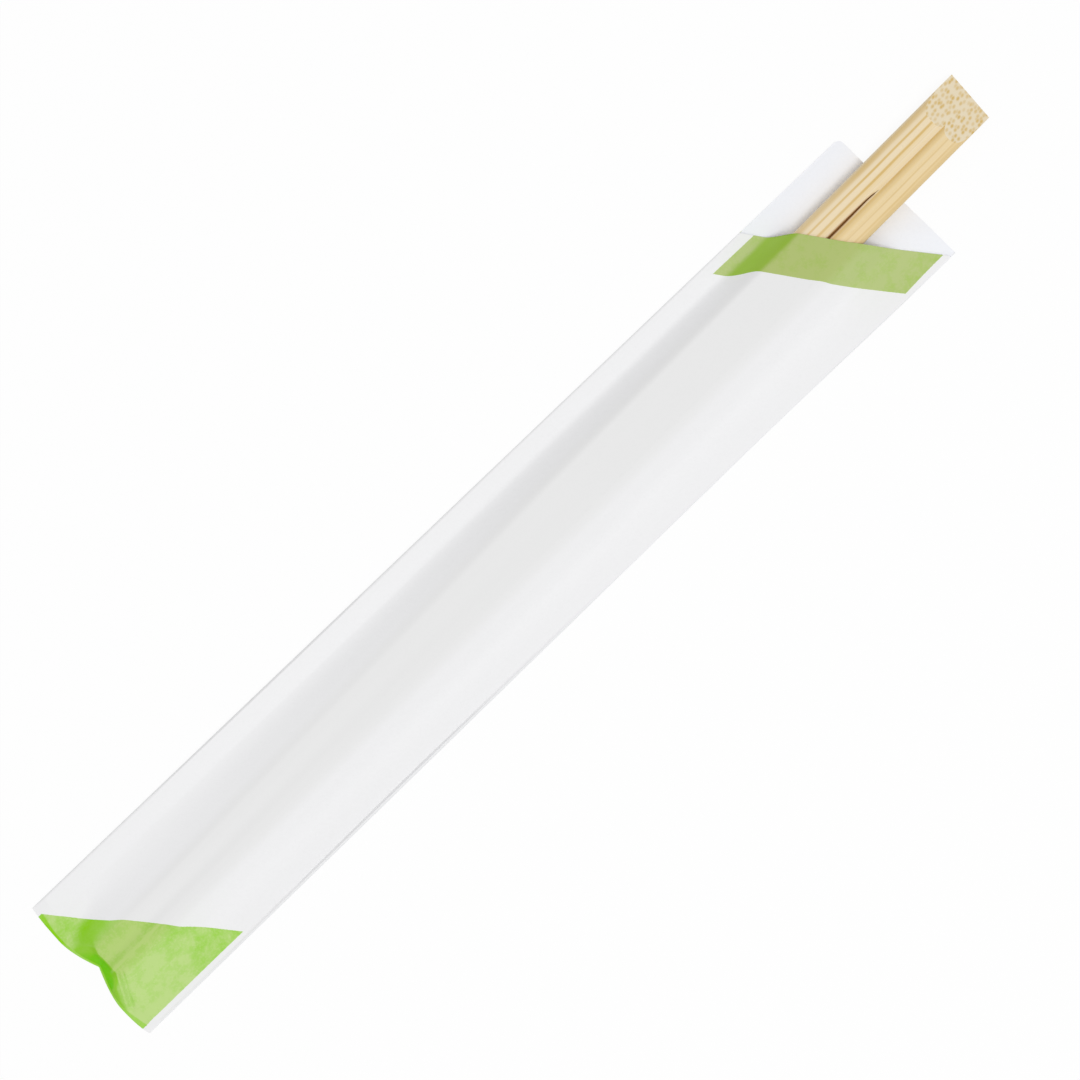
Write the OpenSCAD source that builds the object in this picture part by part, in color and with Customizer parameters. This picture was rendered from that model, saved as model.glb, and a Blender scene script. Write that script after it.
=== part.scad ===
// A joined pair of bamboo chopsticks in a half-open paper sleeve, lying on its back.
// Millimetres. X runs from the sealed end of the sleeve to the butt of the sticks, Z is up,
// and the origin is the middle of the length and width, on the surface that it lies on.

/* [Chopsticks] */
// Length of the sticks from tip to butt
stick_l = 210; // [180:1:240]
// Length of the head of the pair, up to where the sticks start to taper
head_l = 100; // [60:1:140]
// Width of the joined pair at the head
butt_w = 9.8; // [8.5:0.05:11]
// Thickness of the sticks at the head
butt_h = 4.5; // [3.8:0.1:5.5]
// Width of one stick at its tip
tip_w = 2.6; // [2.2:0.1:3.4]
// Thickness of the sticks at the tips
tip_h = 2.9; // [2.2:0.1:3.6]
// Space between the two tips
tip_gap = 1.4; // [0.8:0.1:1.8]
// How far the two rounded sticks run into each other at the head
web = 0.4; // [0.2:0.05:0.8]
// How far right of the middle the line between the sticks lies at the head: the left stick is wider
split_shift = 0.45; // [0:0.05:0.8]
// Squareness of a stick's section: 2 is an ellipse, higher is squarer
squareness = 3.4; // [2.4:0.1:5]
// Length of the rounding at each tip
tip_round = 0.9; // [0.4:0.1:2]
// Distance from the butt to the start of the saw cut that parts the sticks
kerf_start = 23; // [15:1:40]
// Length over which the saw cut opens to its full width
kerf_run = 14; // [6:1:25]
// Full width of the saw cut
kerf_w = 0.8; // [0.4:0.1:1.2]
// Length of the slanted cut on the butt
slant_l = 8.2; // [4:0.1:14]
// Height of the square end below the slanted cut
slant_land = 1.6; // [0.8:0.1:2.6]

/* [Sleeve] */
// Length of the sleeve along its folds
sleeve_l = 192.7; // [175:0.1:200]
// Width of the sleeve where it is pressed flat at the sealed end
flat_w = 29.5; // [27:0.1:34]
// Width of the sleeve at the mouth, drawn in by the sticks
mouth_w = 27.7; // [26:0.1:32]
// Thickness of the paper
paper_t = 0.1; // [0.08:0.01:0.2]
// Space between the two panels beside the sticks
wing_gap = 0.3; // [0.2:0.05:0.6]
// Width of the flat wing along the left fold, at the foot of the slope down from the sticks
left_wing_w = 3.1; // [2:0.1:5]
// Width of the slope on which the front panel comes down right of the sticks
right_flank_w = 6.5; // [4:0.1:8]
// Width of the glued lap seam down the back
lap_w = 8; // [5:0.5:12]
// Width of the glue line across the sealed end
seal_w = 0.3; // [0.2:0.1:0.6]
// Depth of the dent that the tips draw into the sealed end
dent_depth = 1.9; // [0.5:0.1:2.1]
// Width of that dent
dent_w = 15.4; // [10:0.2:18]
// Distance of the dent from the middle of the sleeve
dent_offset = -0.5; // [-1:0.1:1]
// How far the sealed end is drawn in at its two corners
corner_set = 0.5; // [0.2:0.1:1.5]
// Steepness of the front panel between the tips and the sealed end
end_slope = 2.4; // [2.3:0.1:4]
// Angle of the slanted mouth of the front panel, from square across
mouth_angle = 36.8; // [20:0.2:45]
// How far the back panel stands past the front one at the mouth's high side
mouth_lip = 0.8; // [0.4:0.1:3]

/* [Fit] */
// Distance from the sealed end to the tips of the sticks
tip_room = 3.9; // [3.8:0.1:8]
// Clearance between the sticks and the back panel
seat_gap = 0.05; // [0.02:0.01:0.1]
// Clearance between the sticks and the front panel above them
crest_gap = 0.2; // [0.15:0.05:0.5]
// Angle of the sticks to the sleeve, in degrees
pair_lean = 1.1; // [-1.2:0.05:1.2]
// Distance of the tips from the middle of the sleeve
tip_offset = -0.7; // [-1:0.05:1]

/* [Hidden] */

bamboo_colour = [0.90, 0.80, 0.60];
paper_colour = [0.94, 0.94, 0.95];

// The whole length, centred on the origin
overall_l = tip_room + stick_l;
sealed_x = -overall_l / 2;

// Width of one stick at the butt, where it shares the web with the other: side is 1 on the left
function butt_stick_w(side) = (butt_w + web) / 2 + side * split_shift;

// Levels of the back panel: the lap seam's outer face is at 0
back_low = paper_t;
back_top = 2 * paper_t;
seat_z = back_top + seat_gap;

// Smallest space left between the panels where they part from the glue line
least_gap = 0.05;
// How far in from the sticks' side the front panel starts down, and how sharply it turns at the tips
shoulder = 1.5;
turn_power = 4;
// Narrowest slope that still clears the sticks
least_flank = 4.6;
// Sharpness of the dent and of the corners of the sealed end
dent_power = 1.65;
corner_power = 8;
// Distance from the sealed end by which the front panel is at its full height
end_zone = tip_room + 4;
// Distance from the sealed end over which its outline fades out of the rows
dent_fade = 10;

// Numbers of faces
ring_n = 32;
side_n = 14;
lap_n = 12;
lip_n = 2;
end_n = 10;
row_step = 13;
cut_margin = 1;

function lerp(a, b, t) = a + (b - a) * t;
function clamp01(t) = min(1, max(0, t));
function ease(t) = let (c = clamp01(t)) c * c * (3 - 2 * c);
function total(v, i = 0) = i < len(v) ? v[i] + total(v, i + 1) : 0;

// Sizes of a stick at a distance u from its tip: it tapers from the head to the tip
function taper(u) = clamp01(u / (stick_l - head_l));
function stick_half_w(u, side) = lerp(tip_w, butt_stick_w(side), taper(u)) / 2;
function stick_centre(u, side) = lerp(tip_gap + tip_w, butt_w - butt_stick_w(side), taper(u)) / 2;
function stick_h(u) = lerp(tip_h, butt_h, taper(u));
function pair_half_w(u) = lerp(tip_gap / 2 + tip_w, butt_w / 2, taper(u));

// A rounded power of a sine or cosine, which squares off an ellipse
function squared(c) = sign(c) * pow(abs(c), 2 / squareness);

// Share of the full section at a distance u from the tip: a quarter round
function tip_share(u) =
    let (t = clamp01(u / tip_round), blunt = 0.55)
    blunt + (1 - blunt) * sqrt(1 - pow(1 - t, 2));

// One section of a stick, standing across X, with its underside on Z = 0
function stick_ring(u, side) = [
    for (i = [0 : ring_n - 1])
        let (a = 360 * i / ring_n, share = tip_share(u), h = stick_h(u))
        [
            u,
            side * stick_centre(u, side) + share * stick_half_w(u, side) * squared(cos(a)),
            h / 2 * (1 + share * squared(sin(a)))
        ]
];

// Joins rings of n points, each seen anticlockwise from +X, into one closed solid
module loft(rings) {
    n = len(rings[0]);
    last = len(rings) - 1;
    points = [for (ring = rings) each ring];
    sides = [
        for (r = [0 : last - 1], i = [0 : n - 1])
            let (a = r * n + i, b = r * n + (i + 1) % n)
            each [[a, b + n, b], [a, a + n, b + n]]
    ];
    first_cap = [for (i = [0 : n - 1]) i];
    last_cap = [for (i = [n - 1 : -1 : 0]) last * n + i];
    polyhedron(points, concat([first_cap], sides, [last_cap]));
}

// One stick, tip at X = 0
module stick(side) {
    head = stick_l - head_l;
    stations = concat(
        [for (i = [0 : 4]) tip_round * i / 4],
        [for (i = [1 : 3]) lerp(tip_round, head, i / 3)],
        [for (i = [1 : 3]) lerp(head, stick_l, i / 3)]
    );
    loft([for (u = stations) stick_ring(u, side)]);
}

// The saw cut between the sticks, from the tips to its pointed start
module kerf() {
    head = stick_l - head_l;
    full = stick_l - kerf_start - kerf_run;
    translate([0, 0, -cut_margin])
        linear_extrude(butt_h + 2 * cut_margin)
            polygon([
                [-cut_margin, -kerf_w / 2],
                [head, -split_shift - kerf_w / 2],
                [full, -split_shift - kerf_w / 2],
                [stick_l - kerf_start, -split_shift],
                [full, -split_shift + kerf_w / 2],
                [head, -split_shift + kerf_w / 2],
                [-cut_margin, kerf_w / 2]
            ]);
}

// What the slanted cut takes off the top of the butt
module slant_cut() {
    slope = (butt_h - slant_land) / slant_l;
    past = slant_l + cut_margin;
    translate([0, butt_w / 2 + cut_margin, 0])
        rotate([90, 0, 0])
            linear_extrude(butt_w + 2 * cut_margin)
                polygon([
                    [stick_l, slant_land],
                    [stick_l + cut_margin, slant_land],
                    [stick_l + cut_margin, slant_land + slope * past],
                    [stick_l - past, slant_land + slope * past]
                ]);
}

// The joined pair of sticks where it lies in the sleeve
module chopsticks() {
    color(bamboo_colour)
        translate([sealed_x + tip_room, tip_offset, seat_z])
            rotate([0, 0, pair_lean])
                difference() {
                    union() {
                        stick(1);
                        stick(-1);
                    }
                    kerf();
                    slant_cut();
                }
}

// Half the width of the sleeve at a distance s from its sealed end
function half_w(s) = lerp(flat_w, mouth_w, s / sleeve_l) / 2;

// Where the middle of the pair lies across the sleeve
function pair_y(s) = tip_offset + (s - tip_room) * tan(pair_lean);

// How far the dent and the corners draw in the sealed edge at y
function dent(y) =
    dent_depth * pow(clamp01(1 - abs(y - dent_offset) / (dent_w / 2)), dent_power)
    + corner_set * pow(abs(y) / (flat_w / 2), corner_power);

// Space between the panels over the sticks, and its share at y across the sleeve
function crest(s) = seat_gap + stick_h(max(0, s - tip_room)) + crest_gap;
function slope_start(s) = pair_half_w(max(0, s - tip_room)) - shoulder;
function flank_w(s, side) =
    side > 0
        ? max(least_flank, half_w(s) - left_wing_w - pair_y(s) - slope_start(s))
        : right_flank_w;
function over_pair(s, y) =
    let (v = y - pair_y(s))
    1 - ease((abs(v) - slope_start(s)) / flank_w(s, v));

// Space between the panels: the drape over the sticks, brought down to the glue line
function drape(s, y) = lerp(wing_gap, crest(s), over_pair(s, y));
function brought_down(high, low) =
    low <= 0 ? 0 : pow(pow(high, -turn_power) + pow(low, -turn_power), -1 / turn_power);
function gap(s, y) =
    max(least_gap, brought_down(drape(s, y), end_slope * (s - dent(y) - seal_w)));

// Length of paper over one unit of width where the front panel slopes
function stretch(s, y, d = 0.05) =
    let (rise = (gap(s, y + d) - gap(s, y - d)) / (2 * d)) sqrt(1 + rise * rise);

// Length of paper across the mouth from the right fold to y, and the line of the slanted mouth there
function paper_across(y, n = 24) =
    let (from = -mouth_w / 2, step = (y - from) / n)
    step * total([for (k = [0 : n - 1]) stretch(sleeve_l, from + (k + 0.5) * step)]);
function mouth_s(y) = sleeve_l - mouth_lip - tan(mouth_angle) * paper_across(y);
mouth_right = sleeve_l - mouth_lip;
mouth_left = mouth_s(mouth_w / 2);

// Rows along the sleeve, closer together where the front panel turns down to the sealed end
row_n = ceil(sleeve_l / row_step);
rows = concat(
    [0],
    [for (i = [0 : end_n]) lerp(seal_w, end_zone, pow(i / end_n, 1.5))],
    [for (i = [1 : row_n]) lerp(end_zone, sleeve_l, i / row_n)]
);
last_row = len(rows) - 1;

// Place along the sleeve of row s at y, where the mouth line stands at m:
// rows follow the dent near the sealed end, and turn to the slant of the mouth towards it
function slant_share(s) = clamp01(2 * s / sleeve_l - 1);
function along(s, y, m) =
    s + dent(y) * (1 - ease(s / dent_fade)) - slant_share(s) * (sleeve_l - m);

// Places across the panels between the folds at l and -r, with a step's width at the lap seam's edges
function across(l, r) = concat(
    [for (i = [0 : side_n]) lerp(l, lap_w / 2 + paper_t, i / side_n)],
    [for (i = [0 : lap_n]) lerp(lap_w / 2, -lap_w / 2, i / lap_n)],
    [for (i = [0 : side_n]) lerp(-lap_w / 2 - paper_t, -r, i / side_n)]
);
across_n = 2 * side_n + lap_n + 3;

// A point of a fold that is bent to radius r at y, at angle a up from the side
function fold_point(x, y, side, g, r, a) =
    [x, y + side * r * cos(a), back_top + g / 2 + r * sin(a)];

// One closed section of the sleeve at row s: its outer face, or its inner face for inset = paper_t.
// It starts at the left fold and runs over the front panel, round the right fold and along the back.
function section(s, inset) =
    let (
        open = s > 0 ? 1 : 0,
        xl = along(s, flat_w / 2, mouth_left),
        xr = along(s, -flat_w / 2, mouth_right),
        gl = open * gap(xl, half_w(xl)),
        gr = open * gap(xr, half_w(xr)),
        l = half_w(xl) - paper_t - gl / 2,
        r = half_w(xr) - paper_t - gr / 2,
        rl = paper_t + gl / 2 - inset,
        rr = paper_t + gr / 2 - inset,
        places = across(l, r)
    )
    concat(
        [for (a = [0, 45]) fold_point(xl, l, 1, gl, rl, a)],
        [
            for (y = places)
                let (
                    x = along(s, y, mouth_s(y)),
                    wall = (paper_t - inset) * stretch(x, y)
                )
                [x, y, back_top + open * gap(x, y) + wall]
        ],
        [for (a = [45, 0, -45]) fold_point(xr, -r, -1, gr, rr, a)],
        [
            for (i = [across_n - 1 : -1 : 0])
                let (
                    y = places[i],
                    m = lerp(mouth_right, mouth_left, (y + r) / (l + r)),
                    z = inset > 0 ? back_top : abs(y) <= lap_w / 2 ? 0 : back_low
                )
                [along(s, y, m), y, z]
        ],
        [fold_point(xl, l, 1, gl, rl, -45)]
    );

// Number of points in a section, and the place of the right fold in it
half_n = across_n + 3;
sec_n = 2 * half_n;

// The back half of the last section, moved on by a share of the way to the square end of the back
function lip(ring, share) = [
    for (j = [half_n : sec_n])
        let (p = ring[j % sec_n], x = lerp(p[0], sleeve_l, share))
        [x, p[1] * half_w(x) / half_w(p[0]), p[2]]
];

// Place in the list of points of point j in row r: the rows past the last whole section are lip rows
function outer(r, j) =
    r <= last_row
        ? r * sec_n + j % sec_n
        : (last_row + 1) * sec_n + (r - last_row - 1) * (half_n + 1) + j - half_n;
outer_n = (last_row + 1) * sec_n + lip_n * (half_n + 1);
function inner(r, j) = outer_n - sec_n + outer(r, j);

// The folded sheet: outer and inner faces, closed at the glued end and along the cut edges
module paper_sleeve() {
    outer_rings = [for (s = rows) section(s, 0)];
    inner_rings = [for (i = [1 : last_row]) section(rows[i], paper_t)];
    points = concat(
        [for (ring = outer_rings) each ring],
        [for (q = [1 : lip_n]) each lip(outer_rings[last_row], q / lip_n)],
        [for (ring = inner_rings) each ring],
        [for (q = [1 : lip_n]) each lip(inner_rings[last_row - 1], q / lip_n)]
    );
    end_row = last_row + lip_n;

    // Outer and inner faces
    outer_face = [
        for (r = [0 : end_row - 1], j = [(r < last_row ? 0 : half_n) : sec_n - 1])
            each [
                [outer(r, j), outer(r + 1, j + 1), outer(r, j + 1)],
                [outer(r, j), outer(r + 1, j), outer(r + 1, j + 1)]
            ]
    ];
    inner_face = [
        for (r = [1 : end_row - 1], j = [(r < last_row ? 0 : half_n) : sec_n - 1])
            each [
                [inner(r, j), inner(r, j + 1), inner(r + 1, j + 1)],
                [inner(r, j), inner(r + 1, j + 1), inner(r + 1, j)]
            ]
    ];

    // The glued end, outside and inside
    sealed = [
        for (k = [0 : half_n - 1])
            let (t = k, u = k + 1, v = sec_n - k - 1, w = (sec_n - k) % sec_n)
            each concat(
                u == v ? [] : [
                    [outer(0, t), outer(0, u), outer(0, v)],
                    [inner(1, t), inner(1, v), inner(1, u)]
                ],
                t == w ? [] : [
                    [outer(0, t), outer(0, v), outer(0, w)],
                    [inner(1, t), inner(1, w), inner(1, v)]
                ]
            )
    ];

    // The cut edges: the slanted mouth, the square end of the back and the two sides of its lip
    edges = [
        for (j = [0 : sec_n - 1])
            let (r = j < half_n ? last_row : end_row)
            each [
                [outer(r, j), inner(r, j), inner(r, j + 1)],
                [outer(r, j), inner(r, j + 1), outer(r, j + 1)]
            ]
    ];
    sides = [
        for (r = [last_row : end_row - 1])
            each [
                [outer(r, half_n), inner(r, half_n), inner(r + 1, half_n)],
                [outer(r, half_n), inner(r + 1, half_n), outer(r + 1, half_n)],
                [outer(r, sec_n), outer(r + 1, sec_n), inner(r + 1, sec_n)],
                [outer(r, sec_n), inner(r + 1, sec_n), inner(r, sec_n)]
            ]
    ];

    color(paper_colour)
        translate([sealed_x, 0, 0])
            polyhedron(points, concat(outer_face, inner_face, sealed, edges, sides));
}

chopsticks();
paper_sleeve();
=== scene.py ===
from math import cos, radians, sin, tan

import bmesh
import bpy
import numpy as np
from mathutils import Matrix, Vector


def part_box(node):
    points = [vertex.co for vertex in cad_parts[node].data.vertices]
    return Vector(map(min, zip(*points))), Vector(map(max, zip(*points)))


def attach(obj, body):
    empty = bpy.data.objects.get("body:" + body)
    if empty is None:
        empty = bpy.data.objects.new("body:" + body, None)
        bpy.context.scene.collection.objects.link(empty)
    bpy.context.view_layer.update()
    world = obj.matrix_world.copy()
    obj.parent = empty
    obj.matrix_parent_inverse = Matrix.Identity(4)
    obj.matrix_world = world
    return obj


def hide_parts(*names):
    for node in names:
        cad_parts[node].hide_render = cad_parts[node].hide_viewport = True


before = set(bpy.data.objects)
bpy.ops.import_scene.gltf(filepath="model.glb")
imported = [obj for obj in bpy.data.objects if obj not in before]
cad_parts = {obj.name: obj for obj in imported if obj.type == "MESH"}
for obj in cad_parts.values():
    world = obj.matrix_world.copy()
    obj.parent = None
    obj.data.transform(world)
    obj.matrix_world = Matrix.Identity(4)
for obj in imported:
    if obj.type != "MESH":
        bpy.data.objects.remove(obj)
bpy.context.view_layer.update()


# The pair of sticks: one strip of bamboo planed to two rounded bars, sawn apart from the tips up and still
# joined by a thin web at the head. The butt is cut off on a slant, which lays the ends of the fibres bare.
# The bamboo is sanded and left without any finish.
MM = 0.001
stick_l, head_l = 210.0, 100.0
tip_w, tip_h, tip_gap = 2.6, 2.9, 1.4
tip_round, tip_blunt = 0.9, 0.55
butt_w, butt_h = 9.8, 4.5
outer_squareness = {1: 2.7, -1: 3.2}
inner_squareness = {1: 5.0, -1: 2.2}
split_shift, split_run, split_share = 0.5, 7.0, 0.80
kerf_w, kerf_start, kerf_run, kerf_depth = 0.5, 23.0, 9.0, 0.12
kerf_power, kerf_pinch, kerf_fade = 0.6, 0.96, 0.1
slant_l, slant_land = 8.2, 1.6
slant_slope = (butt_h - slant_land) / slant_l
butt_skew, skew_run = 0.7, 14.0
tip_room, tip_offset, seat_z, pair_lean = 3.9, -0.7, 0.25, radians(1.1)
sealed_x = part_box("paper_sleeve")[0][0] / MM

bamboo_cream = (0.830, 0.700, 0.490, 1)
bamboo_gold = (0.800, 0.610, 0.310, 1)
bamboo_tan = (0.670, 0.460, 0.165, 1)
bamboo_pith = (0.800, 0.695, 0.505, 1)
bamboo_fibre_end = (0.660, 0.455, 0.155, 1)
# Dark brown of the saw cut: partly sawn wood, partly painted shade of the deep narrow cut
bamboo_sawn_and_shade = (0.400, 0.205, 0.070, 1)


class Field:
    """A value that changes over a surface: a socket of a node tree. Arithmetic on it adds Math nodes."""

    def __init__(self, tree, socket=None):
        self.tree = tree
        self.socket = socket

    def node(self, kind, settings=None, sockets=None, out=0):
        """Adds a node: its settings first, then the values or links of its sockets. Gives one output."""
        made = self.tree.nodes.new("ShaderNode" + kind)
        for name, value in (settings or {}).items():
            setattr(made, name, value)
        for name, value in (sockets or {}).items():
            if isinstance(value, Field):
                self.tree.links.new(value.socket, made.inputs[name])
            else:
                made.inputs[name].default_value = value
        return Field(self.tree, made.outputs[out] if made.outputs else None)

    def math(self, operation, *values):
        """A Math node on these values."""
        return self.node("Math", {"operation": operation}, dict(enumerate(values)))

    def __add__(self, other):
        return self.math("ADD", self, other)

    def __sub__(self, other):
        return self.math("SUBTRACT", self, other)

    def __rsub__(self, other):
        return self.math("SUBTRACT", other, self)

    def __mul__(self, other):
        return self.math("MULTIPLY", self, other)

    def __abs__(self):
        return self.math("ABSOLUTE", self)

    __radd__ = __add__
    __rmul__ = __mul__

    def larger(self, other):
        """The larger of this value and the other."""
        return self.math("MAXIMUM", self, other)

    def step(self, low, high):
        """0 up to low, 1 from high on, and a smooth step between them."""
        ends = {"Value": self, "From Min": low, "From Max": high}
        return self.node("MapRange", {"interpolation_type": "SMOOTHSTEP"}, ends)

    def between(self, first, second):
        """The colour this share of the way from the first colour to the second."""
        return self.node("Mix", {"data_type": "RGBA"}, {0: self, 6: first, 7: second}, 2)

    def scaled(self, factors):
        """This vector with each of its parts multiplied."""
        return self.node("VectorMath", {"operation": "MULTIPLY"}, {0: self, 1: factors})

    def parts(self):
        """The three parts of this vector."""
        split = self.node("SeparateXYZ", {}, {0: self}).socket.node
        return [Field(self.tree, socket) for socket in split.outputs]

    def noise(self, scale, detail=2.0):
        """Noise from 0 to 1 on this vector."""
        return self.node("TexNoise", {}, {"Vector": self, "Scale": scale, "Detail": detail})

    def attribute(self, name, out=2):
        """What the mesh stores under this name: its number, or with output 1 its vector."""
        return self.node("Attribute", {"attribute_name": name}, {}, out)


def surface(name):
    """A material with an empty node tree, and a field to build it from."""
    material = bpy.data.materials.new(name)
    material.use_nodes = True
    material.node_tree.nodes.clear()
    return material, Field(material.node_tree)


def store(mesh, name, values):
    """Puts one number or one vector for each point into the mesh under this name."""
    kind, slot = ("FLOAT_VECTOR", "vector") if values.ndim == 2 else ("FLOAT", "value")
    mesh.attributes.new(name, kind, "POINT").data.foreach_set(slot, values.ravel())


def ease(t):
    """A smooth step from 0 to 1: 3 t squared less 2 t cubed, held at both ends."""
    t = np.clip(t, 0, 1)
    return t * t * (3 - 2 * t)


def mix(a, b, t):
    """The value this share t of the way from a to b."""
    return a + (b - a) * t


def patch_cells(ids):
    """The four corners of each cell of a grid of point numbers, row by row."""
    return np.stack([ids[:-1, :-1], ids[:-1, 1:], ids[1:, 1:], ids[1:, :-1]], -1).reshape(-1, 4)


def closed(ids):
    """A grid of point numbers with its first column repeated as its last."""
    return np.concatenate([ids, ids[:, :1]], 1)


def stick_taper(u):
    """Share of the way from tips to head, u mm from the tips: the sticks are level from there on."""
    return np.clip(u / (stick_l - head_l), 0, 1)


def stick_height(u):
    """Height of a stick, u mm from the tips: it grows with the taper."""
    return mix(tip_h, butt_h, stick_taper(u))


def pair_half_w(u):
    """Half the width of the pair, u mm from the tips: it grows with the taper."""
    return mix(tip_gap / 2 + tip_w, butt_w / 2, stick_taper(u))


def stick_sections(side, rows, shares):
    """
    One stick as rows of points round its section. The section is a rounded square, whose distance from its
    middle at angle t is (cos^e + sin^e)^(-1/e), stretched to the stick's half width and half height, with
    one power e for the outer corners and one for those beside the other stick. It is cut off along the saw
    cut, whose walls lean together below its mouth and have no height where the sticks stand apart. From
    above it is cut off by the slant of the butt, no wider there than the side is at the slant's height.
    Each row is drawn in towards its middle by its share, which rounds the tip.
    """
    u = rows[:, None]
    inner, outer = inner_squareness[side], outer_squareness[side]
    split = -split_shift * ease((u - stick_l + kerf_start) / split_run + 0.5)
    head_half = (butt_w / 2 - side * split) / (1 + (1 - split_share ** inner) ** (1 / inner))
    half_w = mix(tip_w / 2, head_half, stick_taper(u))
    centre = mix((tip_gap + tip_w) / 2, butt_w / 2 - head_half, stick_taper(u))
    half_h = stick_height(u) / 2
    kerf_half = kerf_w / 2 * np.clip((stick_l - kerf_start - u) / kerf_run, 0, 1) ** kerf_power
    kerf = split * side + kerf_half

    wall = np.clip((centre - kerf) / half_w, 0, 1)
    wall_h = (1 - wall ** inner) ** (1 / inner)
    turn = np.arctan2(wall_h, -wall) * np.linspace(1, -1, round_n)
    power = np.where(np.cos(turn) < 0, inner, outer)
    reach = (np.abs(np.cos(turn)) ** power + np.abs(np.sin(turn)) ** power) ** (-1 / power)
    across = centre + half_w * reach * np.cos(turn)
    up = half_h * reach * np.sin(turn)

    rise = np.linspace(0, 1, wall_n)[1:-1]
    pinch = np.clip(np.minimum(rise, 1 - rise) / kerf_depth, 0, kerf_pinch)
    lean = pinch * kerf_half * np.clip((1 - wall) / kerf_fade, 0, 1)
    across = np.concatenate([across, centre - half_w * wall - lean], 1)
    up = np.concatenate([up, half_h * wall_h * (2 * rise - 1)], 1)
    share = shares[:, None]
    across = centre + share * (across - centre)
    up = half_h + share * up
    slant = slant_land + slant_slope * (stick_l - u)
    under_middle = np.clip(1 - slant / half_h, 0, 1)
    across = np.minimum(across, centre + half_w * (1 - under_middle ** outer) ** (1 / outer))
    return np.stack([np.broadcast_to(u, up.shape), side * across, np.minimum(up, slant)], -1)


round_n, wall_n = 84, 26
ring_n = round_n + wall_n - 2
sawn_to = stick_l - kerf_start
slant_zone = stick_l - slant_l - 0.8
stick_rows = np.concatenate([
    [0, 0], np.linspace(0, tip_round, 8),
    np.linspace(tip_round, stick_l - head_l, 50)[1:],
    np.linspace(stick_l - head_l, sawn_to - kerf_run, 24)[1:],
    np.linspace(sawn_to - kerf_run, sawn_to, 25)[1:],
    np.linspace(sawn_to, slant_zone, 14)[1:],
    np.linspace(slant_zone, stick_l, 80)[1:],
])
tip_curve = np.sqrt(1 - (1 - np.clip(stick_rows / tip_round, 0, 1)) ** 2)
tip_shares = mix(tip_blunt, 1, tip_curve)
tip_shares[:2] = 0, tip_blunt / 2

# Cells of the saw cut's wall go where the sticks are joined, and a strip closes the end of the butt
stick_id = np.arange(len(stick_rows) * ring_n).reshape(-1, ring_n)
cells = patch_cells(closed(stick_id))
joined = stick_rows[cells[:, 0] // ring_n] >= sawn_to - 1e-6
cells = cells[~(joined & (cells[:, 0] % ring_n >= round_n - 1))]
end_top, end_low = stick_id[-1, :round_n // 2], stick_id[-1, round_n - 1:round_n // 2 - 1:-1]
end_strip = np.stack([end_top[:-1], end_low[:-1], end_low[1:], end_top[1:]], -1)
cells = np.concatenate([cells, end_strip])

# How far each point belongs to the saw cut: its walls in full, its edges in part. There the bamboo gets a
# dark brown, partly the sawn wood's own tone and partly painted shade of the deep narrow cut.
sawn_and_shade_part = np.zeros(stick_id.shape)
sawn_and_shade_part[:, [0, round_n - 1]] = 0.7
sawn_and_shade_part[:, [1, round_n - 2]] = 0.2
sawn_and_shade_part[:, round_n:] = 1
sawn_and_shade_part *= (stick_rows < sawn_to - 1)[:, None]
sawn_and_shade_part = np.tile(sawn_and_shade_part.ravel(), 2)

# The second stick's cells turn the other way, and points that no cell uses are left out
grain = np.concatenate([stick_sections(side, stick_rows, tip_shares).reshape(-1, 3) for side in (1, -1)])
cells = np.concatenate([cells, cells[:, ::-1] + stick_id.size])
used, cells = np.unique(cells, return_inverse=True)
cells, grain, sawn_and_shade_part = cells.reshape(-1, 4), grain[used], sawn_and_shade_part[used]
skew = butt_skew * (0.5 - grain[:, 1] / butt_w) * ease((grain[:, 0] - stick_l) / skew_run + 1)
run_u, run_v = grain[:, 0] - skew, grain[:, 1]
sticks_at = np.stack([
    sealed_x + tip_room + run_u * cos(pair_lean) - run_v * sin(pair_lean),
    tip_offset + run_u * sin(pair_lean) + run_v * cos(pair_lean),
    seat_z + grain[:, 2],
], -1)

weld_gap, stick_crease = 0.002, radians(32)
sticks_mesh = bpy.data.meshes.new("bamboo_pair")
sticks_mesh.from_pydata(sticks_at * MM, [], cells.tolist())
store(sticks_mesh, "grain", grain * MM)
store(sticks_mesh, "sawn", sawn_and_shade_part)
welded = bmesh.new()
welded.from_mesh(sticks_mesh)
bmesh.ops.remove_doubles(welded, verts=welded.verts, dist=weld_gap * MM)
bmesh.ops.recalc_face_normals(welded, faces=welded.faces)
welded.to_mesh(sticks_mesh)
welded.free()
sticks_mesh.shade_smooth()
sticks_mesh.set_sharp_from_angle(angle=stick_crease)
bamboo_pair = bpy.data.objects.new("bamboo_pair", sticks_mesh)
bpy.context.collection.objects.link(bamboo_pair)

# Where the slanted cut is, by the distance from its plane
bamboo, on_bamboo = surface("bamboo")
fibre = on_bamboo.attribute("grain", 1)
along_stick, across_stick, up_stick = fibre.parts()
off_cut = abs(up_stick + slant_slope * along_stick - (slant_land + slant_slope * stick_l) * MM)
on_cut = 1 - off_cut.step(0.02 * MM, 0.06 * MM)
on_cut = on_cut.larger(along_stick.step((stick_l - 0.03) * MM, (stick_l - 0.01) * MM))

# Cream to gold along the sticks: drawn-out noise, a golder right stick and a golder line beside the split
streaks = fibre.scaled((0.004, 1, 0.4)).noise(1500, 1).step(0.48, 0.66)
hairs = fibre.scaled((0.012, 1, 1)).noise(4200, 3)
clouds = fibre.scaled((0.05, 1, 1)).noise(260, 2)
right_stick = 1 - across_stick.step((-split_shift - 0.05) * MM, (-split_shift + 0.15) * MM)
beside_line = 1 - abs(across_stick - 1.05 * MM).step(0.1 * MM, 0.5 * MM)
gold_share = 0.05 + streaks * 0.35 + right_stick * 0.50 + beside_line * 0.45
gold_share = gold_share + (clouds - 0.5) * 0.5 + (hairs - 0.5) * 0.5
long_tone = gold_share.step(-0.2, 1.0).between(bamboo_cream, bamboo_gold)
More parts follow.
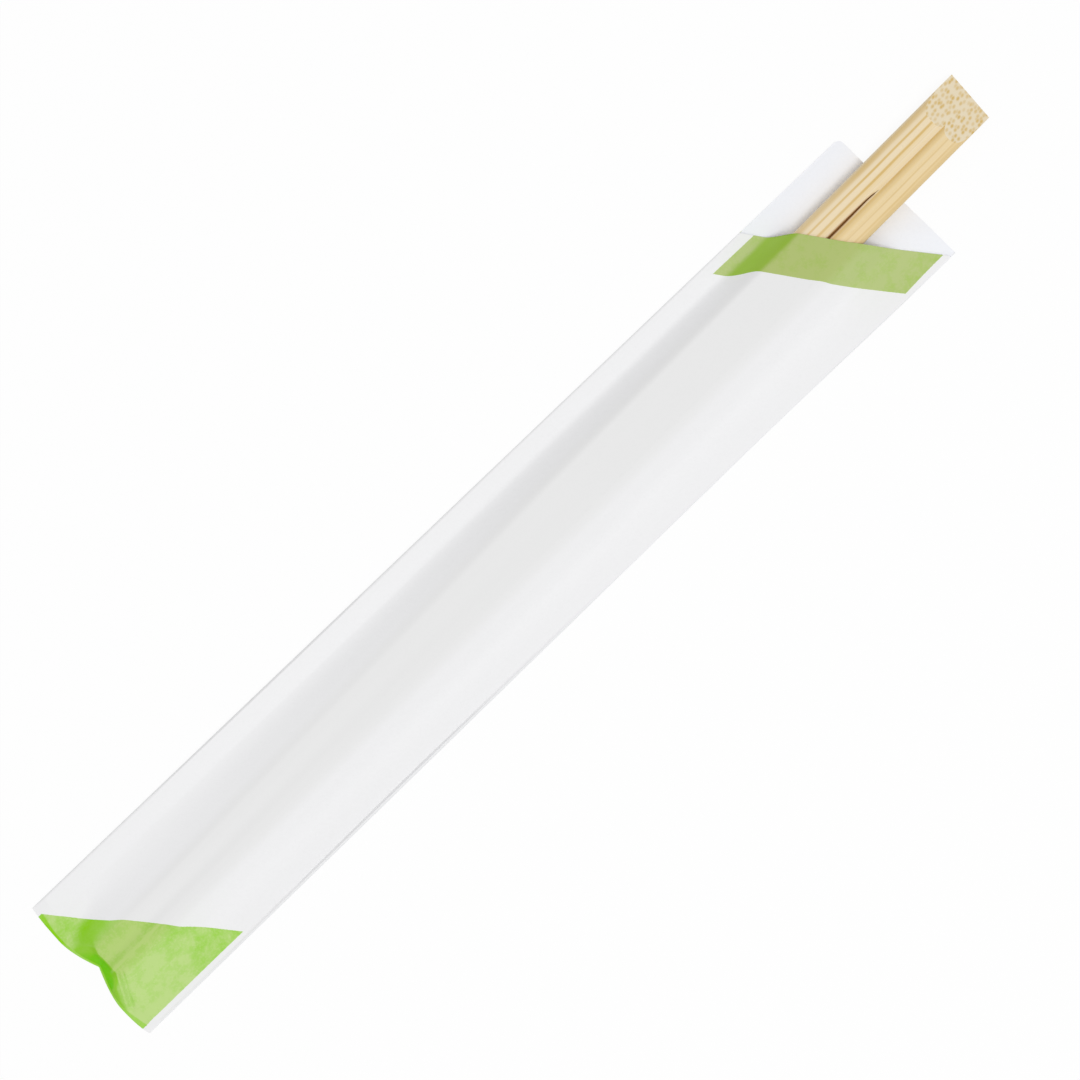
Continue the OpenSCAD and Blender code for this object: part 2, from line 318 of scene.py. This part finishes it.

# Bundles of darker fibre laid bare as lines along the sticks, and, first and last, a wide tan band along
# each outer edge, which is painted shade: place across the pair, half width, strength
fibre_and_edge_shade_lines = [
    (4.25, 0.75, 0.60), (2.86, 0.30, 0.85), (1.47, 0.34, 0.95), (0.60, 0.16, 0.20),
    (-2.55, 0.24, 0.45), (-3.75, 0.28, 0.55), (-4.40, 0.60, 0.45)]
waver = fibre.scaled((1, 0.1, 0.1)).noise(60, 2) - 0.5
line_share = 0
for line_at, half_line, strength in fibre_and_edge_shade_lines:
    off_line = abs(across_stick - line_at * MM + waver * (0.25 * MM))
    line_share = line_share + (1 - off_line.step(0.2 * half_line * MM, half_line * MM)) * strength
line_share = line_share * (1 + 1.2 * waver)
long_tone = line_share.between(long_tone, bamboo_tan)
# A darker tan in the groove where the sticks part: painted shade
groove_shade = right_stick * across_stick.step((-split_shift - 1.1) * MM, (-split_shift - 0.05) * MM)
long_tone = (groove_shade * 0.85).between(long_tone, bamboo_tan)

# The same bundles cut across: spots on the slanted cut, each with a tone of its own
bundle_place = on_bamboo.node("CombineXYZ", {}, {0: across_stick + 0.35 * up_stick, 1: 1.9 * up_stick})
bundle_kind = {"feature": "F1", "voronoi_dimensions": "2D"}
bundle_grid = {"Vector": bundle_place, "Scale": 1400, "Randomness": 0.9}
bundle = 1 - on_bamboo.node("TexVoronoi", bundle_kind, bundle_grid).step(0.10, 0.58)
bundle_shade = on_bamboo.node("TexVoronoi", bundle_kind, bundle_grid, 1)
bundle_tone = on_bamboo.node("SeparateColor", {}, {0: bundle_shade})
cut_share = bundle * (0.40 + 0.60 * bundle_tone) + (clouds - 0.4) * 0.3
cut_tone = cut_share.between(bamboo_pith, bamboo_fibre_end)

bamboo_colour = on_cut.between(long_tone, cut_tone)
# The saw cut's walls and edges turn dark brown: partly sawn wood, partly painted shade
bamboo_colour = on_bamboo.attribute("sawn").between(bamboo_colour, bamboo_sawn_and_shade)
fibre_height = hairs * 0.5 + streaks * 0.3 - line_share * 0.3 - bundle * on_cut * 0.6
bamboo_relief = on_bamboo.node("Bump", {}, {
    "Strength": 0.5, "Distance": 0.06 * MM, "Height": fibre_height})
bamboo_shader = on_bamboo.node("BsdfPrincipled", {}, {
    "Base Color": bamboo_colour, "Roughness": 0.50 + 0.15 * hairs, "Normal": bamboo_relief,
    "Specular IOR Level": 0.35,
})
on_bamboo.node("OutputMaterial", {}, {"Surface": bamboo_shader})
sticks_mesh.materials.append(bamboo)
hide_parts("chopsticks")
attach(bamboo_pair, "root")


# The sleeve: one sheet of thin machine-glazed paper folded round the sticks, lapped and glued down the back
# and glued flat at the sealed end, where a dent is nipped in. The mouth is cut on a slant through the front
# only. A pale green ink is printed on the front in a band along the mouth and a corner at the sealed end.
sleeve_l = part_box("paper_sleeve")[1][0] / MM - sealed_x
flat_w, mouth_w, front_w = 29.5, 27.7, 30.8
paper_t, wing_gap, least_gap, crest_gap, seal_w = 0.1, 0.3, 0.05, 0.2, 0.3
back_low, back_top = paper_t, 2 * paper_t
lap_w, lap_step, seam_w = 8.0, 0.3, 0.2
right_flare, flare_from, flare_run = 0.45, 145.0, 40.0

# The inside and back are a lighter, bluer white than the front: painted light that offsets the shade and
# the bamboo's warm bounce in the mouth
paper_white, paper_inside_brightened = (0.872, 0.872, 0.880, 1), (0.893, 0.905, 0.945, 1)
paper_over_sticks, ink_over_sticks = (0.812, 0.812, 0.812, 1), (0.89, 0.89, 0.76, 1)
paper_speck, lap_shade = (0.72, 0.72, 0.73, 1), (0.50, 0.50, 0.51, 1)
# The band's and the corner's sheen tones: the ink paled by a painted sheen, as on flat paper
band_green, band_sheen = (0.335, 0.550, 0.060, 1), (0.485, 0.580, 0.235, 1)
corner_green, corner_sheen = (0.262, 0.630, 0.010, 1), (0.525, 0.715, 0.255, 1)
# A deeper green for the corner's steepest slopes: painted shade
corner_steep_tone = (0.175, 0.640, 0.000, 1)


def sleeve_half_w(s):
    """Half the width of the sleeve, s mm from its sealed end: a straight taper."""
    return mix(flat_w, mouth_w, s / sleeve_l) / 2


dent_depth, dent_w, dent_offset, dent_power, dent_fade = 1.9, 15.4, -0.5, 1.65, 10.0
corner_set, corner_power_left, corner_power_right, right_reach = 0.65, 4, 8, 0.35


def dent(y):
    """How far the sealed edge is set back at y: a pointed dent, and corners that turn in."""
    nip = np.clip(1 - np.abs(y - dent_offset) / (dent_w / 2), 0, 1) ** dent_power
    corner = (np.abs(y) / (flat_w / 2)) ** np.where(y > 0, corner_power_left, corner_power_right)
    return dent_depth * nip + corner_set * corner - right_reach * ease(-y / 10)


def pair_y(s):
    """Where the middle of the pair lies across the sleeve: it leans to the left towards the mouth."""
    return tip_offset + (s - tip_room) * tan(pair_lean)


left_wing, right_flank, tip_flank, flank_run = 3.1, 6.5, 5.0, 18.0
shoulder, tip_shoulder, crown_run = 1.1, 0.7, 90.0
near_draw, near_run, far_draw = 0.65, 20.0, 0.9
hip_at, hip_left, hip_left_slope, hip_right, hip_right_slope = 3.6, 1.3, 0.5, -3.2, 0.57
least_climb, side_bulge, bulge_from, bulge_run = 0.5, 1.9, 1.5, 3.5


def cover(s, y):
    """
    1 where the front panel lies on the sticks, 0 on its wings and along the sealed edge: the fall across
    the flanks times the climb from the sealed edge. The fall is a smooth step of the share of the way out,
    drawn up against the sticks by a power of it. The climb ends at a hip line across the tips; it is
    straight at the dent and rounds over beside it, as 1 less a power of the share that is left.
    """
    v = y - pair_y(s)
    start = pair_half_w(s - tip_room) - mix(tip_shoulder, shoulder, ease(s / crown_run))
    left_foot = mix(start + tip_flank, sleeve_half_w(s) - left_wing - pair_y(s), ease(s / flank_run))
    foot = np.where(v > 0, left_foot, start + right_flank)
    share = np.clip((np.abs(v) - start) / (foot - start), 0, 1)
    power = mix(mix(1, near_draw, ease(s / near_run)), far_draw, ease(s / crown_run))
    hip = hip_at + hip_left_slope * np.maximum(y - hip_left, 0)
    hip = hip - hip_right_slope * np.maximum(hip_right - y, 0)
    climb = (s - dent(y) - seal_w) / np.maximum(hip - dent(y) - seal_w, least_climb)
    bulge = mix(1, side_bulge, ease((np.abs(y - dent_offset) - bulge_from) / bulge_run))
    return (1 - ease(share ** power)) * (1 - (1 - np.clip(climb, 0, 1)) ** bulge)


pleat_from, pleat_to = np.array([3.9, -3.2]), np.array([0.5, -9.2])
ridge_h, ridge_w, hollow_h, hollow_w, hollow_at = 0.32, 0.35, 0.34, 0.45, 0.75


def pleat(s, y):
    """
    Height of the small pleat from the right tip to the sealed edge: a round ridge with a hollow beside it,
    by the distance from a straight line, fading out past both ends of it.
    """
    run = pleat_to - pleat_from
    length = np.hypot(*run)
    beside = ((s - pleat_from[0]) * run[1] - (y - pleat_from[1]) * run[0]) / length
    share = ((s - pleat_from[0]) * run[0] + (y - pleat_from[1]) * run[1]) / length ** 2
    fade = ease((share + 0.15) / 0.3) * ease((1.2 - share) / 0.4)
    ridge = ridge_h * np.exp(-((beside / ridge_w) ** 2))
    hollow = hollow_h * np.exp(-(((beside + hollow_at) / hollow_w) ** 2))
    return fade * (ridge - hollow)


mouth_lip, mouth_angle, mouth_flat, mouth_run = 0.7, radians(36.15), 0.3, 15.0
paper_per_width = 1.1
sink_depth, sink_w, sink_run, ripple_h = 0.50, 4.0, 45.0, 0.05
wing_run, wing_lift, lift_w = 2.5, 0.3, 4.0
curl_lift, curl_at, curl_run = 0.8, 58.0, 36.0


def panel_gap(s, y):
    """
    Space between the panels: the sticks' height under the cover and a sliver under the wings. The sliver
    opens to the folds, most in a bell-shaped curl of the left one, closes at the sealed edge and flattens
    to the mouth. The paper sinks between the sticks, by a cosine squared that fades away from the tips.
    """
    v = y - pair_y(s)
    crest = seat_z - back_top + stick_height(s - tip_room) + crest_gap
    sink = sink_depth * np.cos(np.pi * np.clip(v / sink_w, -0.5, 0.5)) ** 2
    sink = sink * np.exp(-np.maximum(s, 0) / sink_run)
    ripple = ripple_h * np.sin(s / 7.0 + 0.5 * y) * np.sin(s / 19.0 + 1.0)
    curl = curl_lift * np.exp(-(((s - curl_at) / curl_run) ** 2)) * (y > 0)
    lift = (wing_lift + curl) * np.clip((np.abs(y) - sleeve_half_w(s)) / lift_w + 1, 0, 1)
    wing = (wing_gap + lift + ripple) * np.clip((s - dent(y) - seal_w) / wing_run, 0, 1)
    to_mouth = sleeve_l - mouth_lip - paper_per_width * tan(mouth_angle) * (y + mouth_w / 2) - s
    wing = wing * mix(mouth_flat, 1, ease(to_mouth / mouth_run))
    return np.maximum(least_gap, mix(wing, crest - sink, cover(s, y)) + pleat(s, y))


def panel_stretch(s, y):
    """Length of paper over one unit of width: the root of 1 and the panel's slope squared."""
    d = 0.05
    return np.sqrt(1 + ((panel_gap(s, y + d) - panel_gap(s, y - d)) / (2 * d)) ** 2)


mouth_y = np.linspace(-mouth_w / 2, mouth_w / 2, 600)
mouth_stretch = panel_stretch(sleeve_l, mouth_y)
mouth_stretch[mouth_y < 0] = mouth_stretch[mouth_y < 0].mean()
mouth_paper = np.cumsum(mouth_stretch) * (mouth_y[1] - mouth_y[0])


def mouth_line(y):
    """Place along the sleeve of the slanted cut: a straight line on the flat sheet."""
    return sleeve_l - mouth_lip - tan(mouth_angle) * np.interp(y, mouth_y, mouth_paper)


mouth_right, mouth_left = mouth_line(-mouth_w / 2), mouth_line(mouth_w / 2)


def row_place(s, y, mouth):
    """Place along the sleeve of row s at y: rows follow the dent at one end and the slant at the other."""
    to_slant = np.clip(2 * s / sleeve_l - 1, 0, 1)
    return s + dent(y) * (1 - ease(s / dent_fade)) - to_slant * (sleeve_l - mouth)


def fold_points(x, y, side, space, radius, angles):
    """The turn of a fold: a round of the given radius about the middle of the space between the panels."""
    angles = np.radians(angles)
    ring_y = y + side * radius * np.cos(angles)
    ring_z = back_top + space / 2 + radius * np.sin(angles)
    return np.stack([np.broadcast_to(x, ring_y.shape), ring_y, ring_z], -1)


def sleeve_sections(rows, inset):
    """
    Rows of points round the sleeve, from the right fold along the back, round the left fold and over the
    front. The front stands over the back by the panels' space, and the inner face lies a sheet's
    thickness inside.
    """
    s = rows[:, None]
    is_open = (s > 0).astype(float)
    xl, xr = row_place(s, flat_w / 2, mouth_left), row_place(s, -flat_w / 2, mouth_right)
    space_l = is_open * panel_gap(xl, sleeve_half_w(xl))
    space_r = is_open * panel_gap(xr, sleeve_half_w(xr))
    left = sleeve_half_w(xl) - paper_t - space_l / 2
    right = sleeve_half_w(xr) + right_flare * ease((xr - flare_from) / flare_run) - paper_t - space_r / 2
    turn_l, turn_r = paper_t + space_l / 2 - inset, paper_t + space_r / 2 - inset

    share = np.linspace(0, 1, panel_n)
    y = mix(-right, left, share)
    back_x = row_place(s, y, mix(mouth_right, mouth_left, share))
    lap = 1 - ease((np.abs(y) - lap_w / 2) / lap_step)
    back = np.stack([back_x, y, np.full_like(y, back_top) if inset else back_low * (1 - lap)], -1)
    y = y[:, ::-1]
    front_x = row_place(s, y, mouth_line(y))
    front_z = back_top + is_open * panel_gap(front_x, y) + (paper_t - inset) * panel_stretch(front_x, y)
    return np.concatenate([
        fold_points(xr, -right, -1, space_r, turn_r, [0, -30, -60]), back,
        fold_points(xl, left, 1, space_l, turn_l, [-60, -30, 0, 30, 60]),
        np.stack([front_x, y, front_z], -1), fold_points(xr, -right, -1, space_r, turn_r, [60, 30]),
    ], 1)


lip_bow, lip_curl, lip_skew, lip_round, lip_clear, lip_run = 0.3, 0.9, 0.4, 1.0, 0.4, 6.0


def lip_sections(ring):
    """
    The back half of the last row carried on to the square end of the back. Beside the sticks it bows up
    on the left, by half a sine wave, and rises straight to the right fold, and both fade in from the
    mouth's cut.
    """
    share = np.linspace(0, 1, lip_n + 1)[1:, None]
    edge = ring[:half_n + 1]
    turn = np.clip((edge[:, 1] - mouth_w / 2) / lip_round + 1, 0, 1)
    end = sleeve_l - lip_skew * edge[:, 1] / (mouth_w / 2) - lip_round * (1 - np.sqrt(1 - turn ** 2))
    x = mix(edge[:, 0], end, share)
    y = edge[:, 1] * sleeve_half_w(x) / sleeve_half_w(edge[:, 0])
    room = np.where(y > 0, 1, -1) * (y - pair_y(x)) - butt_w / 2 - lip_clear
    way_out = np.clip(room / (room + sleeve_half_w(x) - np.abs(y)), 0, 1)
    rise = np.where(y > 0, lip_bow * np.sin(np.pi * way_out), lip_curl * way_out)
    return np.stack([x, y, edge[:, 2] + rise * ease((x - edge[:, 0]) / lip_run)], -1)


panel_n, lip_n = 130, 24
half_n = panel_n + 5
loop_n = 2 * half_n
sealed_zone, mouth_zone = 9, 150
sleeve_rows = np.concatenate([
    [0], mix(seal_w, sealed_zone, np.linspace(0, 1, 64) ** 1.3),
    np.linspace(sealed_zone, mouth_zone, 36)[1:], np.linspace(mouth_zone, sleeve_l, 50)[1:],
])
last_row = len(sleeve_rows) - 1
outer_rows = sleeve_sections(sleeve_rows, 0)
inner_rows = sleeve_sections(sleeve_rows[1:], paper_t)
outer_lip, inner_lip = lip_sections(outer_rows[-1]), lip_sections(inner_rows[-1])
sleeve_at = np.concatenate([part.reshape(-1, 3) for part in (outer_rows, outer_lip, inner_rows, inner_lip)])

# Numbers of the points: whole rows and lip rows of the outer face, then of the inner face
outer_id = np.arange((last_row + 1) * loop_n).reshape(last_row + 1, loop_n)
lip_id = outer_id.size + np.arange(lip_n * (half_n + 1)).reshape(lip_n, half_n + 1)
outer_lip_id = np.concatenate([outer_id[-1:, :half_n + 1], lip_id])
inner_start = outer_id.size + lip_id.size
inner_id = inner_start + np.arange(last_row * loop_n).reshape(last_row, loop_n)
inner_lip_id = inner_start + inner_id.size + lip_id - outer_id.size
inner_lip_id = np.concatenate([inner_id[-1:, :half_n + 1], inner_lip_id])


def sealed_strip(ring):
    """Cells across a flattened row, from its back half to its front half."""
    low, high = ring[:half_n + 1], np.concatenate([ring[:1], ring[:half_n - 1:-1]])
    return np.stack([low[:-1], high[:-1], high[1:], low[1:]], -1)


rim_out = np.concatenate([outer_lip_id[-1], outer_id[-1, half_n:], outer_id[-1, :1]])
rim_in = np.concatenate([inner_lip_id[-1], inner_id[-1, half_n:], inner_id[-1, :1]])
rim = np.stack([rim_out[:-1], rim_out[1:], rim_in[1:], rim_in[:-1]], -1)
rim = np.delete(rim, half_n, 0)
right_edge = patch_cells(np.stack([outer_lip_id[:, 0], inner_lip_id[:, 0]], 1))[:, ::-1]
left_edge = patch_cells(np.stack([outer_lip_id[:, -1], inner_lip_id[:, -1]], 1))
sleeve_cells = np.concatenate([
    patch_cells(closed(outer_id)), patch_cells(outer_lip_id), patch_cells(closed(inner_id))[:, ::-1],
    patch_cells(inner_lip_id)[:, ::-1], sealed_strip(outer_id[0]), sealed_strip(inner_id[0])[:, ::-1],
    rim, right_edge, left_edge,
])

# A cell at the end of a sealed strip names one corner twice, and is a triangle
twice = sleeve_cells == np.roll(sleeve_cells, 1, 1)
pinched = twice.any(1)
triangles = sleeve_cells[pinched][~twice[pinched]].reshape(-1, 3)
sleeve_faces = sleeve_cells[~pinched].tolist() + triangles.tolist()


def on_outer(values):
    """These values of the outer rows for every point of the sleeve: 0 on the lip and the inner face."""
    whole = np.zeros((len(sleeve_at),) + values.shape[2:])
    whole[:outer_id.size] = values.reshape((outer_id.size,) + values.shape[2:])
    return whole


# Where each point of the front lies on the flat sheet: along it, across it from the right fold, and below
# the mouth. Points of the back and of the inner face keep the nearest fold's place and are not printed.
at_x, at_y = outer_rows[..., 0], outer_rows[..., 1]
steps = np.linalg.norm(np.diff(outer_rows[:, half_n:, 1:], axis=1), axis=-1)
run = np.concatenate([np.zeros((last_row + 1, 1)), np.cumsum(steps, 1)], 1)
sheet_across = np.zeros(at_x.shape)
sheet_across[:, half_n:] = front_w * (1 - run / run[:, -1:])
sheet_across[:, half_n // 2:half_n] = front_w
printed = np.zeros(at_x.shape)
printed[:, half_n:] = 1
sheet_place = np.stack([at_x, sheet_across, mouth_line(at_y) - at_x], -1)

# Where the paper lies on the sticks, with a soft edge
shade_in, shade_run, shade_lead = 0.8, 2.4, 1.5
off_pair = np.abs(at_y - pair_y(at_x)) - pair_half_w(at_x - tip_room)
over_pair = (1 - ease((off_pair + shade_in) / shade_run)) * ease((at_x - tip_room) / shade_lead + 1)

# How far the front tilts, which takes the painted sheen off its ink: slopes that face left or the sealed
# end count in full, others a little, and less right of the dent. The edge that was pressed in sealing
# counts as a slight tilt.
probe = mix(0.2, 0.8, ease((at_x - 12) / 20))
slope_x = (panel_gap(at_x + probe, at_y) - panel_gap(at_x - probe, at_y)) / (2 * probe)
slope_y = (panel_gap(at_x, at_y + probe) - panel_gap(at_x, at_y - probe)) / (2 * probe)
steep = np.sqrt(slope_x ** 2 + slope_y ** 2) + 1e-6
facing = np.maximum(-slope_y, slope_x - 0.5 * np.maximum(slope_y, 0))
right_of_dent = ease((-4.0 - at_y) / 1.5) * ease((5 - at_x) / 2)
counted = mix(0.15, 1, np.clip(facing / steep, 0, 1)) * (1 - 0.5 * right_of_dent)
pressed_w = 0.35 + 0.5 * ease((np.abs(at_y) - 8.5) / 5)
pressed = 1 - ease((at_x - dent(at_y) - pressed_w) / 0.3)
tilt = np.maximum(counted * (1 - 1 / np.sqrt(1 + steep ** 2)), 0.13 * pressed)

# The edge of the lap on the outer back, by a bell curve across it
on_front = on_outer(printed)
seam = np.exp(-(((sleeve_at[:, 1] - lap_w / 2) / seam_w) ** 2)) * (1 - on_front)
seam[inner_start:] = 0

paper_crease = radians(50)
sleeve_mesh = bpy.data.meshes.new("paper_cover")
sleeve_mesh.from_pydata((sleeve_at + (sealed_x, 0, 0)) * MM, [], sleeve_faces)
store(sleeve_mesh, "sheet_place", on_outer(sheet_place))
store(sleeve_mesh, "on_front", on_front)
store(sleeve_mesh, "on_sticks", on_outer(printed * over_pair))
store(sleeve_mesh, "tilt", on_outer(printed * tilt))
store(sleeve_mesh, "seam", seam)
sleeve_mesh.shade_smooth()
sleeve_mesh.set_sharp_from_angle(angle=paper_crease)
paper_cover = bpy.data.objects.new("paper_cover", sleeve_mesh)
bpy.context.collection.objects.link(paper_cover)

# The two printed fields: a band below the mouth and a corner below a slanted line, both clear of the folds
paper, on_paper = surface("printed_paper")
place = on_paper.node("TexCoord", {}, {}, 3)
place_x, place_y = place.parts()[:2]
sheet_x, sheet_y, sheet_z = on_paper.attribute("sheet_place", 1).parts()
front_side = on_paper.attribute("on_front").step(0.45, 0.55)
sticks_under = on_paper.attribute("on_sticks")
print_edge = 0.10
band_w, band_drawn, band_right, band_left = 9.65, 0.3, 1.1, 2.0
corner_l, corner_drawn, corner_slope, corner_right, corner_left = 25.25, 0.55, 0.835, 1.35, 1.9
wobble = (place.noise(3000, 2) - 0.5) * 0.12
band = (band_w - band_drawn * sticks_under - sheet_z + wobble).step(0, print_edge)
band = band * (sheet_y + wobble).step(band_right, band_right + print_edge)
band = band * (front_w - band_left - sheet_y + wobble).step(0, print_edge)
corner_line = corner_l + corner_drawn * sticks_under - sheet_x - corner_slope * sheet_y
corner = (corner_line + wobble).step(0, print_edge)
corner = corner * (sheet_y + wobble).step(corner_right, corner_right + print_edge)
corner = corner * (front_w - corner_left - sheet_y + wobble).step(0, print_edge)
ink = band.larger(corner) * front_side

# The ink's tone: paled by a painted sheen where the paper is flat, mottled at random, with less sheen on
# slopes and in a few given places, and a painted highlight along the crown of the right stick
cloud = place.noise(420, 3)
speck = place.noise(2400, 3)
tilted = on_paper.attribute("tilt")
sloping = band * tilted.step(0.0, 0.30) + (1 - band) * tilted.step(-0.02, 0.20)
# Where the painted sheen is held back: the band's right end and parts of the corner
sheen_held_back = 0.25 * band * (1 - sheet_y.step(1.0, 6.0)) + 0.40 * corner * sheet_x.step(9.0, 19.0)
sheen_held_back = sheen_held_back + 0.42 * corner * sheet_y.step(20.5, 23.5) * (1 - 0.6 * sheet_y.step(25.0, 29.0))
mottle = 0.70 + 0.5 * cloud.step(0.3, 0.75) + 0.30 * speck.step(0.4, 0.75)
sheen_and_mottle = (1 - (0.86 + 0.05 * band) * sloping) * mottle - sheen_held_back
# A painted highlight along the crown of the right stick, where the paper is stretched over it
crown_at = pair_y(-sealed_x) - 1.9
off_crown = abs(place_y - tan(pair_lean) * place_x - crown_at * MM)
crown_highlight = (1 - off_crown.step(0.05 * MM, 0.40 * MM)) * sticks_under
# The corner's steepest slopes are painted a deeper green, which is painted shade, and get no painted sheen
steepest = tilted.step(0.28, 0.48)
corner_unsheened = steepest.between(corner_green, corner_steep_tone)
corner_tone = (sheen_and_mottle - 0.16 * steepest + 0.4 * crown_highlight).between(corner_unsheened, corner_sheen)
ink_tone = band.between(corner_tone, sheen_and_mottle.between(band_green, band_sheen))
ink_tone = on_paper.node("Mix", {"data_type": "RGBA", "blend_type": "MULTIPLY"}, {
    0: sticks_under, 6: ink_tone, 7: ink_over_sticks}, 2)

# The bare sheet: greyer over the sticks, finely specked, with a line along the lap's edge, and on the back
# and inside a lighter, bluer white, which is painted light
sheet_tone = front_side.between(paper_inside_brightened, sticks_under.between(paper_white, paper_over_sticks))
sheet_tone = (speck.step(0.45, 0.8) * 0.10).between(sheet_tone, paper_speck)
sheet_tone = (on_paper.attribute("seam") * 0.6).between(sheet_tone, lap_shade)
paper_colour = ink.between(sheet_tone, ink_tone)
paper_fibres = place.scaled((1, 0.35, 1)).noise(5200, 3)
paper_relief = on_paper.node("Bump", {}, {
    "Strength": 0.25, "Distance": 0.04 * MM, "Height": paper_fibres * 0.5 + speck * 0.5})
paper_shader = on_paper.node("BsdfPrincipled", {}, {
    "Base Color": paper_colour, "Roughness": 0.56 - 0.08 * ink + 0.08 * (speck - 0.5),
    "Normal": paper_relief, "Specular IOR Level": 0.03,
})
on_paper.node("OutputMaterial", {}, {"Surface": paper_shader})
sleeve_mesh.materials.append(paper)
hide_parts("paper_sleeve")
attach(paper_cover, "root")


# The table under them: a wide matt white sheet just below the sleeve. It shows as plain white, to mirrors
# and glass too, and keeps a little of the soft shadow.
table_half, table_drop = 1.5, 0.05 * MM
table_mesh = bpy.data.meshes.new("table")
table_corners = table_half * np.array([(-1, -1, 0), (1, -1, 0), (1, 1, 0), (-1, 1, 0)])
table_mesh.from_pydata(table_corners - (0, 0, table_drop), [], [(0, 1, 2, 3)])
table = bpy.data.objects.new("table", table_mesh)
bpy.context.collection.objects.link(table)
table_white, on_table = surface("table_white")
seen = on_table.node("LightPath", {}, {}, "Is Camera Ray")
seen = seen.larger(on_table.node("LightPath", {}, {}, "Is Glossy Ray"))
seen = seen.larger(on_table.node("LightPath", {}, {}, "Is Transmission Ray"))
matt = on_table.node("BsdfDiffuse", {}, {"Color": (0.9, 0.9, 0.9, 1)})
glow = on_table.node("Emission", {}, {"Color": (1, 1, 1, 1), "Strength": 1.0})
lit = on_table.node("MixShader", {}, {0: seen * 0.92, 1: matt, 2: glow})
on_table.node("OutputMaterial", {}, {"Surface": lit})
table_mesh.materials.append(table_white)


# The light: an even white dome, and one wide soft lamp overhead, a little to the right of the sleeve
scene = bpy.context.scene
scene.view_settings.view_transform = "Standard"
world = bpy.data.worlds.new("dome")
world.use_nodes = True
scene.world = world
world.node_tree.nodes.clear()
dome = Field(world.node_tree)
dome_seen = dome.node("LightPath", {}, {}, "Is Camera Ray")
dome_light = dome.node("Background", {}, {"Color": (1, 1, 1, 1), "Strength": 0.66})
dome_white = dome.node("Background", {}, {"Color": (1, 1, 1, 1), "Strength": 1.0})
dome_shader = dome.node("MixShader", {}, {0: dome_seen, 1: dome_light, 2: dome_white})
dome.node("OutputWorld", {}, {"Surface": dome_shader})
lamp_data = bpy.data.lights.new("soft_lamp", "AREA")
lamp_data.shape = "DISK"
lamp_data.size = 0.55
lamp_data.energy = 4.7
lamp = bpy.data.objects.new("soft_lamp", lamp_data)
lamp_from = np.array([0.05, -0.28, 1.1])
lamp.location = lamp_from
lamp.rotation_euler = (np.arctan2(-lamp_from[1], lamp_from[2]), 0, 0)
bpy.context.collection.objects.link(lamp)


# The camera looks straight down, with the sleeve running up to the right across a square picture
camera_up, picture_w, sensor_w = 1.0, 0.18534, 36
camera_data = bpy.data.cameras.new("camera")
camera_data.sensor_width = sensor_w
camera_data.lens = sensor_w * camera_up / picture_w
camera = bpy.data.objects.new("camera", camera_data)
camera.location = (0.00048, -0.00027, camera_up + 0.002)
camera.rotation_euler = (0, 0, radians(-43.95))
bpy.context.collection.objects.link(camera)
scene.camera = camera
